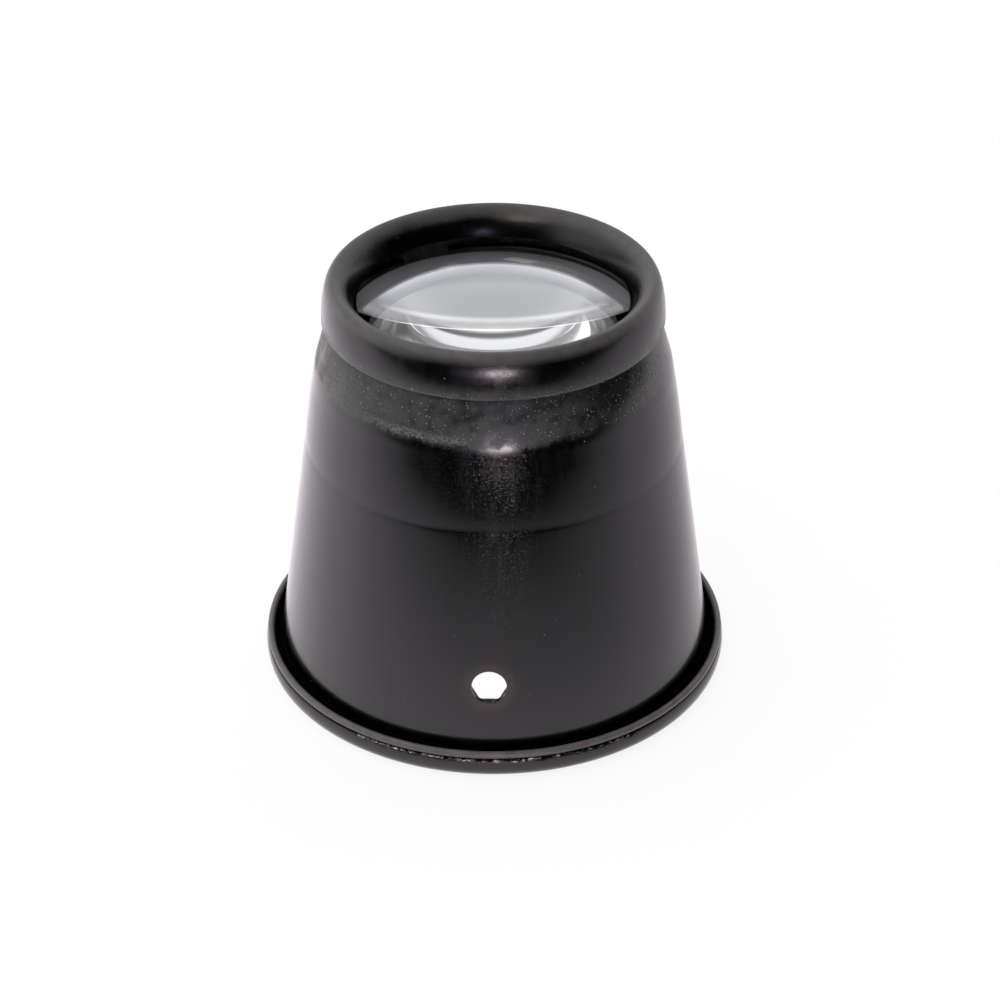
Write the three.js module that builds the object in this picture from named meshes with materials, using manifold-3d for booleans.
// Watchmaker's eye loupe: a tapered metal eyecup that carries one thick lens in a screwed-in cell.
// Millimetres, +Z up. The origin is on the axis, in the plane that the rolled rim rests on.
import * as THREE from "three";
import { mergeVertices } from "three/addons/utils/BufferGeometryUtils.js";
import Module from "manifold-3d";

// Lens: one biconvex glass.
const lensRadius = 11.45;
const lensFrontCurve = 33;
const lensBackCurve = 28;
const lensEdge = 0.4;
const lensClearance = 0.1;

// Lens cell: the rolled lip above the seam and the threaded skirt below it.
const skirtWall = 0.35;
const skirtLength = 4.1;
const skirtChamfer = 0.15;
const seatWidth = 2.15;
const seatDepth = 3.4;
const seatRise = 2.48;
const seatThickness = 0.6;
const seatGap = 0.05;
const lipOverhang = 0.37;
const lipFootRound = 0.3;
const lipSide = 0.3;
const lipCrestInset = 0.9;
const lipOpening = 10.03;
const lipDrop = 2.0;
const lipFlankReach = 0.5;
const lipFlankFall = 0.25;
const lipEdgeReach = 0.45;
const lipEdgeFall = 0.25;
const lipHollow = 1.0;

// Split ring: the sprung wire that holds the lens down in its cell.
const wireRadius = 0.31;
const wireClearance = 0.05;
const wireHeadroom = 1.2;
const ringGap = THREE.MathUtils.degToRad(20.3);
const ringGapTurn = THREE.MathUtils.degToRad(97.75);

// Eye shell: rim, cone, shoulder and threaded neck, pressed from one sheet.
const sheet = 0.65;
const rimRadius = 18;
const rimHeight = 2.15;
const rimBend = 0.75;
const rimLedge = 0.1;
const rimLedgeHeight = 1.1;
const gutterWidth = 0.62;
const shellHeight = 29;
const shoulderHeight = 3.5;
const shoulderReach = 1.055;
const shoulderRound = 0.8;
const drawLineHeight = 19.3;
const drawLineRise = 0.1;
const drawLineWidth = 0.9;
const neckWall = 0.28;
const neckChamfer = 0.1;
const neckLength = 4.5;
const neckTaper = 0.8;
const threadClearance = 0.1;
const seamGap = 0.1;

// Vent hole in the cone, near the rim.
const ventRadius = 1.35;
const ventHeight = 7.2;
const ventTurn = THREE.MathUtils.degToRad(-92.7);

// Facets, and the distance within which two corners are one.
const turnSteps = 56;
const shellCurveSteps = 3;
const cellCurveSteps = 4;
const lensCurveSteps = 4;
const wireCurveSteps = 4;
const ventSteps = 24;
const ringSteps = 48;
const sameCorner = 1e-4;

// Radii that fit one inside the next, from the lens outwards.
const pocketRadius = lensRadius + lensClearance;
const skirtRadius = pocketRadius + skirtWall;
const boreRadius = skirtRadius + threadClearance;
const neckRadius = boreRadius + neckWall;
const coneTopRadius = neckRadius + shoulderReach;
const lipRadius = neckRadius + lipOverhang;
const seatRadius = pocketRadius - seatWidth;

// Heights that stack one on the next, from the neck's top edge upwards.
const seamHeight = shellHeight + seamGap;
const seatHeight = seamHeight - seatDepth;
const lensBackEdge = seatAt(lensRadius) + seatGap;
const lensFrontEdge = lensBackEdge + lensEdge;
const frontCentre = lensFrontEdge + sag(lensFrontCurve, lensRadius) - lensFrontCurve;
const ringRadius = pocketRadius - wireClearance - wireRadius;
const ringSphere = lensFrontCurve + wireClearance + wireRadius;
const ringHeight = frontCentre + ringSphere - sag(ringSphere, ringRadius);
const lipEdgeHeight = ringHeight + wireRadius + wireHeadroom;
const crestHeight = lipEdgeHeight + lipDrop;

// Rise of a spherical face over a circle of the given radius.
function sag(curve, radius) {
  return curve - Math.sqrt(curve ** 2 - radius ** 2);
}

// Height of the cell's conical seat at the given radius.
function seatAt(radius) {
  return seatHeight + (seatRise * (radius - seatRadius)) / seatWidth;
}

// A profile of (radius, height) points turned about +Z.
function turned(profile, curveSteps) {
  const geometry = new THREE.LatheGeometry(profile.getPoints(curveSteps), turnSteps);
  return geometry.rotateX(Math.PI / 2);
}

const wasm = await Module();
wasm.setup();

function solidOf(geometry) {
  const bare = geometry.clone();
  bare.deleteAttribute("normal");
  bare.deleteAttribute("uv");
  const merged = mergeVertices(bare, sameCorner);
  return new wasm.Manifold(
    new wasm.Mesh({
      numProp: 3,
      vertProperties: merged.attributes.position.array,
      triVerts: new Uint32Array(merged.index.array),
    }),
  );
}

function geometryOf(solid) {
  const mesh = solid.getMesh();
  const geometry = new THREE.BufferGeometry();
  geometry.setAttribute("position", new THREE.BufferAttribute(mesh.vertProperties, 3));
  geometry.setIndex(new THREE.BufferAttribute(mesh.triVerts, 1));
  geometry.computeVertexNormals();
  return geometry;
}

// The outer wall is two straight runs: gutter to shoulder, and shoulder to the neck's top edge.
const coneFootRadius = rimRadius - sheet - gutterWidth;
const shoulderFoot = shellHeight - shoulderHeight;
const coneSlope = (coneTopRadius - coneFootRadius) / (shoulderFoot - rimHeight);
const shoulderSlope = (neckRadius - coneTopRadius) / shoulderHeight;

function coneRadius(height) {
  return coneFootRadius + coneSlope * (height - rimHeight);
}

// Eye shell: the sheet comes down the cone, turns up again into an open gutter and ends in a rounded edge.
function eyeShell() {
  const rimInner = rimRadius - sheet;
  const mouthRadius = coneFootRadius - sheet;
  const edgeRadius = (rimRadius - rimLedge - rimInner) / 2;
  const gutterRadius = gutterWidth / 2;
  const neckFoot = shellHeight - neckLength;
  const neckTaperFoot = neckFoot - neckTaper;
  const drawLineHalf = drawLineWidth / 2;
  const profile = new THREE.Path();
  profile.moveTo(mouthRadius, rimBend);
  profile.absarc(mouthRadius + rimBend, rimBend, rimBend, Math.PI, 1.5 * Math.PI, false);
  profile.absarc(rimRadius - rimBend, rimBend, rimBend, -Math.PI / 2, 0, false);
  profile.lineTo(rimRadius, rimLedgeHeight);
  profile.lineTo(rimRadius - rimLedge, rimLedgeHeight);
  profile.absarc(rimInner + edgeRadius, rimHeight - edgeRadius, edgeRadius, 0, Math.PI, false);
  profile.absarc(rimInner - gutterRadius, sheet + gutterRadius, gutterRadius, 0, Math.PI, true);
  profile.lineTo(coneFootRadius, rimHeight);
  profile.lineTo(coneRadius(drawLineHeight - drawLineHalf), drawLineHeight - drawLineHalf);
  profile.lineTo(coneRadius(drawLineHeight) + drawLineRise, drawLineHeight);
  profile.lineTo(coneRadius(drawLineHeight + drawLineHalf), drawLineHeight + drawLineHalf);
  profile.lineTo(coneRadius(shoulderFoot - shoulderRound), shoulderFoot - shoulderRound);
  profile.quadraticCurveTo(
    coneTopRadius,
    shoulderFoot,
    coneTopRadius + shoulderSlope * shoulderRound,
    shoulderFoot + shoulderRound,
  );
  profile.lineTo(neckRadius, shellHeight);
  profile.lineTo(boreRadius + neckChamfer, shellHeight);
  profile.lineTo(boreRadius, shellHeight - neckChamfer);
  profile.lineTo(boreRadius, neckFoot);
  profile.lineTo(coneRadius(neckTaperFoot) - sheet, neckTaperFoot);
  profile.lineTo(mouthRadius, rimHeight);
  profile.closePath();
  const vent = new THREE.CylinderGeometry(ventRadius, ventRadius, rimRadius, ventSteps);
  vent.translate(0, rimRadius / 2, 0);
  vent.rotateZ(ventTurn - Math.PI / 2);
  vent.translate(0, 0, ventHeight);
  return geometryOf(solidOf(turned(profile, shellCurveSteps)).subtract(solidOf(vent)));
}

// Lens cell: the lip rolls over the wire ring, and the skirt carries the lens's conical seat.
function lensCell() {
  const skirtFoot = seamHeight - skirtLength;
  const skirtInner = pocketRadius - skirtChamfer;
  const sideTop = seamHeight + lipSide;
  const crestRadius = lipRadius - lipCrestInset;
  const profile = new THREE.Path();
  profile.moveTo(skirtRadius - skirtChamfer, skirtFoot);
  profile.lineTo(skirtRadius, skirtFoot + skirtChamfer);
  profile.lineTo(skirtRadius, seamHeight);
  profile.lineTo(lipRadius - lipFootRound, seamHeight);
  profile.quadraticCurveTo(lipRadius, seamHeight, lipRadius, seamHeight + lipFootRound);
  profile.lineTo(lipRadius, sideTop);
  profile.absellipse(crestRadius, sideTop, lipCrestInset, crestHeight - sideTop, 0, Math.PI / 2, false, 0);
  profile.quadraticCurveTo(
    crestRadius - lipFlankReach,
    crestHeight - lipFlankFall,
    lipOpening,
    lipEdgeHeight,
  );
  profile.lineTo(lipOpening + lipEdgeReach, lipEdgeHeight - lipEdgeFall);
  profile.lineTo(pocketRadius, lipEdgeHeight + lipHollow);
  profile.lineTo(pocketRadius, seatAt(pocketRadius));
  profile.lineTo(seatRadius, seatHeight);
  profile.lineTo(seatRadius, seatHeight - seatThickness);
  profile.lineTo(skirtInner, seatAt(skirtInner) - seatThickness);
  profile.lineTo(skirtInner, skirtFoot);
  profile.closePath();
  return turned(profile, cellCurveSteps);
}

// Lens: two spherical faces and a ground edge.
function lens() {
  const frontAngle = Math.acos(lensRadius / lensFrontCurve);
  const backAngle = Math.acos(lensRadius / lensBackCurve);
  const backCentre = lensBackEdge - sag(lensBackCurve, lensRadius) + lensBackCurve;
  const profile = new THREE.Path();
  profile.absarc(0, backCentre, lensBackCurve, -Math.PI / 2, -backAngle, false);
  profile.absarc(0, frontCentre, lensFrontCurve, frontAngle, Math.PI / 2, false);
  return turned(profile, lensCurveSteps);
}

// The wire's centre line: a level circle with a gap.
class RingLine extends THREE.Curve {
  getPoint(share, target = new THREE.Vector3()) {
    const angle = ringGapTurn + ringGap / 2 + share * (2 * Math.PI - ringGap);
    return target.set(ringRadius * Math.cos(angle), ringRadius * Math.sin(angle), ringHeight);
  }
}

function splitRing() {
  const wire = new THREE.Shape().absarc(0, 0, wireRadius, 0, 2 * Math.PI, false);
  return new THREE.ExtrudeGeometry(wire, {
    extrudePath: new RingLine(),
    steps: ringSteps,
    curveSegments: wireCurveSteps,
  });
}

const lacquer = { color: 0x1b1a1c, roughness: 0.42, metalness: 0.35 };
const finishes = {
  eye_shell: lacquer,
  lens_cell: { ...lacquer, color: 0x161517, roughness: 0.38 },
  lens: { color: 0xf2f5f6, roughness: 0.02, metalness: 0, transparent: true, opacity: 0.35 },
  split_ring: { color: 0x232224, roughness: 0.4, metalness: 0.6 },
};

function part(name, geometry) {
  const mesh = new THREE.Mesh(geometry, new THREE.MeshStandardMaterial(finishes[name]));
  mesh.name = name;
  return mesh;
}

const loupe = new THREE.Group();
loupe.add(
  part("eye_shell", eyeShell()),
  part("lens_cell", lensCell()),
  part("lens", lens()),
  part("split_ring", splitRing()),
);

export default loupe;
